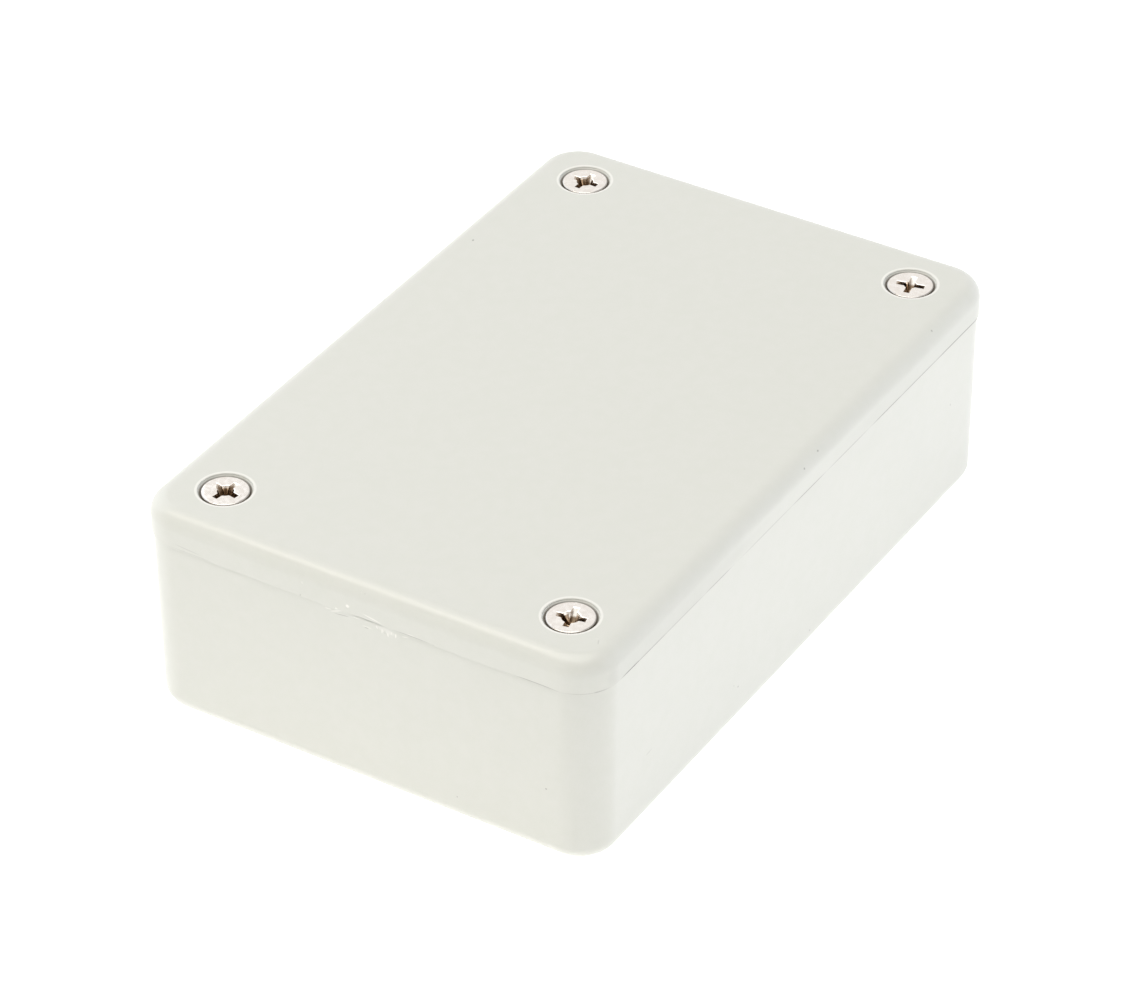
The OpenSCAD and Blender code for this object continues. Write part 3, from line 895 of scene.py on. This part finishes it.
def round_the_wells(finish, colour):
    """A colour with a pale rim of painted highlight on the top face round each well, and painted
    shade in the well, round the screw's head."""
    radius, height = finish.from_screws(), finish.height(finish.place)
    # A pale ring of painted highlight on the rounded edge round each well
    rim = finish.maths("MULTIPLY", finish.within(radius, WELL_R + 0.4, WELL_R + 0.24),
                       finish.within(radius, WELL_R + 0.04, WELL_R + 0.15, 0, 0.75))
    rim = finish.maths("MULTIPLY", rim, finish.within(height, TOP_Z - 0.15, TOP_Z - 0.05))
    # Painted shade down in the well, round the screw's head
    sunk = finish.maths("MULTIPLY", finish.within(radius, WELL_R * 1.02, WELL_R * 0.99),
                        finish.within(height, TOP_Z - 0.18, TOP_Z - 0.36))
    sunk = finish.maths("MULTIPLY", sunk, finish.within(height, PARTING_Z, PARTING_Z + 0.5))
    return finish.mixed(sunk, finish.mixed(rim, colour, PALE_SCUFF_AND_HIGHLIGHT), WELL_SHADE)


def marked(finish, colour):
    """A colour with every small mark, and the painted shade on the lid's front side, on it."""
    for middle, radii, turn, tone in MARKS:
        mask = finish.maths("MULTIPLY", finish.spot(middle, radii, turn), abs(tone))
        colour = finish.mixed(mask, colour, PALE_SCUFF_AND_HIGHLIGHT if tone > 0 else DARK_SPECK_AND_SHADE)
    return colour


def satin_abs():
    """Pale warm grey ABS with a fine spark-eroded grain and faint mottling. It has specks, small
    scratches and pale scuffs, painted highlights on the wells' rims and painted shade in the wells,
    painted shade and grime in the joint, and painted shade on the lid's front side."""
    finish = Finish("satin_abs", (0.77, 0.77, 0.715), 0.34)
    grain = finish.noise(0.3, 3.0, 0.6)
    mottle = finish.noise(1.6, 4.0, 0.7)
    colour = finish.mixed(finish.between(mottle, 0.3, 0.7), (0.764, 0.766, 0.708), (0.778, 0.776, 0.724))
    colour = marked(finish, round_the_wells(finish, colour))
    # Painted shade and grime along the open joint, from each piece's values
    joint = finish.node("ShaderNodeAttribute", {"attribute_name": "joint_shade_and_grime"}).outputs["Fac"]
    finish.feed("Base Color", finish.mixed(finish.maths("MULTIPLY", joint, 0.9), colour, JOINT_SHADE_AND_GRIME))
    finish.feed("Roughness", finish.maths("MULTIPLY_ADD", mottle, 0.03, 0.305))
    finish.bumped(grain, 0.22, 0.04)
    finish.shader.inputs["IOR"].default_value = 1.5
    return finish.material


# Painted highlights on the recesses' walls, where the painted shade is taken off: the middle, the
# radii and the turn about Z, as for the marks
RECESS_HIGHLIGHTS = (
    ((-34.9, -20.56, 25.4), (0.3, 0.3, 0.32), 0),
    ((-35.05, 20.69, 25.5), (0.5, 0.16, 0.4), 32),
    ((35.51, 21.47, 25.45), (0.28, 0.28, 0.3), 0),
    ((36.06, 20.11, 25.4), (0.2, 0.2, 0.25), 0),
    ((36.95, -20.9, 25.6), (0.38, 0.24, 0.33), -12),
)
TURNED_RINGS = 0.12  # from one turned ring on a screw's head to the next


def oil_and_shade_share(finish, radius):
    """How far a screw is darkened brown, from 0 to 1: painted shade on its recess's steep walls and
    lip, and painted shade and old oil low in its depth, apart from the painted highlights."""
    height = finish.height(finish.place)
    # Steep walls get the painted shade, and faces that look upwards stay bright
    upward = finish.height(finish.node("ShaderNodeNewGeometry").outputs["Normal"])
    bottom_z = HEAD_Z - RECESS_DEPTH - RECESS_PIT
    deep = finish.maths("MULTIPLY", finish.within(height, HEAD_Z - 0.1, HEAD_Z - 0.35),
                        finish.within(radius, RECESS_HALF_SPAN * 1.15, RECESS_HALF_SPAN * 1.08))
    deep = finish.maths("MULTIPLY", deep, finish.within(height, bottom_z - 0.25, bottom_z))
    lip = finish.maths("MULTIPLY", finish.within(height, HEAD_Z - 0.03, HEAD_Z - 0.07, 0, 0.7),
                       finish.within(height, HEAD_Z - 0.2, HEAD_Z - 0.12))
    walls = finish.maths("MULTIPLY", finish.maths("MAXIMUM", deep, lip), finish.between(upward, 0.62, 0.45))
    low = finish.within(height, HEAD_Z - 0.6, HEAD_Z - 0.85)
    oiled_and_shaded = finish.maths("MAXIMUM", walls, finish.maths("MULTIPLY", low, deep))
    # The painted highlights take the painted shade off
    for middle, radii, turn in RECESS_HIGHLIGHTS:
        oiled_and_shaded = finish.maths("SUBTRACT", oiled_and_shaded, finish.spot(middle, radii, (0, 0, turn)))
    return finish.maths("MAXIMUM", oiled_and_shaded, 0.0)


def plated_steel():
    """Bright plated steel with a warm cast, finely turned rings on the head and painted shade on the
    edge round it. The recess's walls and depth are darkened brown with painted shade and old oil,
    with painted highlights in places."""
    finish = Finish("plated_steel", (0.85, 0.8, 0.745), 0.2, 1.0)
    radius = finish.from_screws()
    cloud = finish.noise(0.6, 3.0, 0.6)
    plate = finish.mixed(finish.between(cloud, 0.35, 0.65), (0.83, 0.775, 0.715), (0.87, 0.825, 0.775))
    # Painted shade on the rounded edge of the head
    edge_shade = finish.within(radius, HEAD_R - 0.17, HEAD_R - 0.1, 0, 0.8)
    plate = finish.mixed(edge_shade, plate, (0.3, 0.285, 0.27))
    oil_and_shade = finish.mixed(cloud, (0.14, 0.095, 0.06), (0.34, 0.25, 0.17))
    finish.feed("Base Color", finish.mixed(oil_and_shade_share(finish, radius), plate, oil_and_shade))
    finish.feed("Roughness", finish.between(cloud, 0.3, 0.7, 0.17, 0.3))
    waves = finish.maths("SINE", finish.maths("MULTIPLY", radius, 2 * math.pi / (TURNED_RINGS * MM)))
    finish.bumped(finish.maths("MULTIPLY_ADD", waves, 0.5, cloud), 0.05, 0.02)
    return finish.material


def turned_brass():
    """Bright brass, a little dulled in patches."""
    finish = Finish("turned_brass", (0.8, 0.58, 0.28), 0.28, 1.0)
    cloud = finish.noise(0.8, 3.0, 0.6)
    finish.feed("Base Color", finish.mixed(cloud, (0.7, 0.48, 0.22), (0.88, 0.68, 0.36)))
    finish.feed("Roughness", finish.between(cloud, 0.3, 0.7, 0.22, 0.36))
    finish.bumped(cloud, 0.08, 0.02)
    return finish.material


# ------------------------------------------------------------------ pieces

ABS = satin_abs()
STEEL = plated_steel()
BRASS = turned_brass()

piece("moulded_lid", lid_sheets(), ABS, "lid", "lid", joint_shade_and_grime)
piece("moulded_tub", tub_sheets(), ABS, "base", "base", joint_shade_and_grime)
for side, y in zip(SIDES, (-SCREW_Y, SCREW_Y)):
    for end, x in zip(ENDS, (-SCREW_X, SCREW_X)):
        corner = side + "_" + end
        screw = "screw_" + corner
        piece("machine_" + screw, screw_sheets(x, y, *RECESSES[corner]), STEEL, screw, screw)
        piece("knurled_insert_" + corner, insert_sheets(x, y), BRASS, "base", "insert_" + corner)

# ------------------------------------------------------------------ bench, light and camera

BENCH_GLOW = 0.63
ROOM_LIGHT = 0.1


def bench():
    """A pale bench that glows a little, as a light table does, and lights the sides from below."""
    mesh = bpy.data.meshes.new("bench")
    mesh.from_pydata([(-3, -3, 0), (3, -3, 0), (3, 3, 0), (-3, 3, 0)], [], [(0, 1, 2, 3)])
    obj = bpy.data.objects.new("bench", mesh)
    bpy.context.scene.collection.objects.link(obj)
    finish = Finish("bench_paint", (0.85, 0.85, 0.85), 0.9)
    finish.shader.inputs["Specular IOR Level"].default_value = 0.0
    finish.shader.inputs["Emission Color"].default_value = (1, 1, 1, 1)
    finish.shader.inputs["Emission Strength"].default_value = BENCH_GLOW
    obj.data.materials.append(finish.material)


def seen_directly(finish):
    """1 for rays from the eye, off a gloss and through glass, and 0 for those that light the object."""
    path = finish.node("ShaderNodeLightPath").outputs
    direct = finish.maths("MAXIMUM", path["Is Camera Ray"], path["Is Glossy Ray"])
    return finish.maths("MAXIMUM", direct, path["Is Transmission Ray"])


class Room(Finish):
    """The world, put together as a material is. It is white to the eye and lights the object with
    only a share of that."""

    def __init__(self, light):
        world = bpy.data.worlds.new("room")
        world.use_nodes = True
        bpy.context.scene.world = world
        self.tree = world.node_tree
        background = self.tree.nodes["Background"]
        background.inputs["Color"].default_value = (1, 1, 1, 1)
        level = self.maths("MULTIPLY_ADD", seen_directly(self), 1 - light, light)
        self.tree.links.new(level, background.inputs["Strength"])


def softbox(name, place, size, watts, colour, in_gloss=True):
    """A round lamp at a place in metres, turned towards the box, that shows in gloss or doesn't.
    Its size is in metres too."""
    lamp = bpy.data.lights.new(name, "AREA")
    lamp.shape = "DISK"
    lamp.size = size
    lamp.energy = watts
    lamp.color = colour
    obj = bpy.data.objects.new(name, lamp)
    bpy.context.scene.collection.objects.link(obj)
    obj.visible_glossy = in_gloss
    obj.location = place
    obj.rotation_euler = obj.location.to_track_quat("Z", "Y").to_euler()


def long_lens():
    """A camera with a long lens that looks down on the box's front left corner."""
    aim = Vector((3.03, 3.63, 7.09)) * MM
    azimuth, elevation, roll = (math.radians(a) for a in (-58.06, 35.52, 0.43))
    distance = 518.1 * MM
    back = Vector((math.cos(elevation) * math.sin(azimuth), -math.cos(elevation) * math.cos(azimuth),
                   math.sin(elevation)))
    right = Vector((math.cos(azimuth), math.sin(azimuth), 0))
    up = back.cross(right)
    turn = Matrix.Rotation(-roll, 3, "Z")
    axes = Matrix((right, up, back)).transposed() @ turn
    camera = bpy.data.objects.new("camera", bpy.data.cameras.new("camera"))
    camera.data.lens = 150.1
    camera.data.sensor_width = 36
    camera.data.clip_start = 0.01
    camera.matrix_world = Matrix.Translation(aim + distance * back) @ axes.to_4x4()
    bpy.context.scene.collection.objects.link(camera)
    bpy.context.scene.camera = camera


bench()
Room(ROOM_LIGHT)
softbox("overhead_lamp", (-0.15, 0.0, 0.97), 1.0, 6.97, (0.995, 0.99, 0.96))
softbox("rear_lamp", (0.15, 0.853, 0.5), 1.1, 3.25, (0.83, 0.9, 1.0))
softbox("side_lamp", (0.933, -0.34, 0.12), 0.5, 3.4, (0.78, 0.85, 1.0), in_gloss=False)
softbox("front_lamp", (0.255, -0.952, 0.17), 0.8, 1.98, (0.94, 0.97, 1.0))
softbox("left_lamp", (-0.81, 0.47, 0.34), 1.1, 1.0, (0.83, 0.87, 0.72))
softbox("edge_lamp", (-0.32, 0.455, 0.83), 0.32, 1.25, (1.0, 0.9, 0.8))
bpy.context.scene.view_settings.view_transform = "Standard"
long_lens()
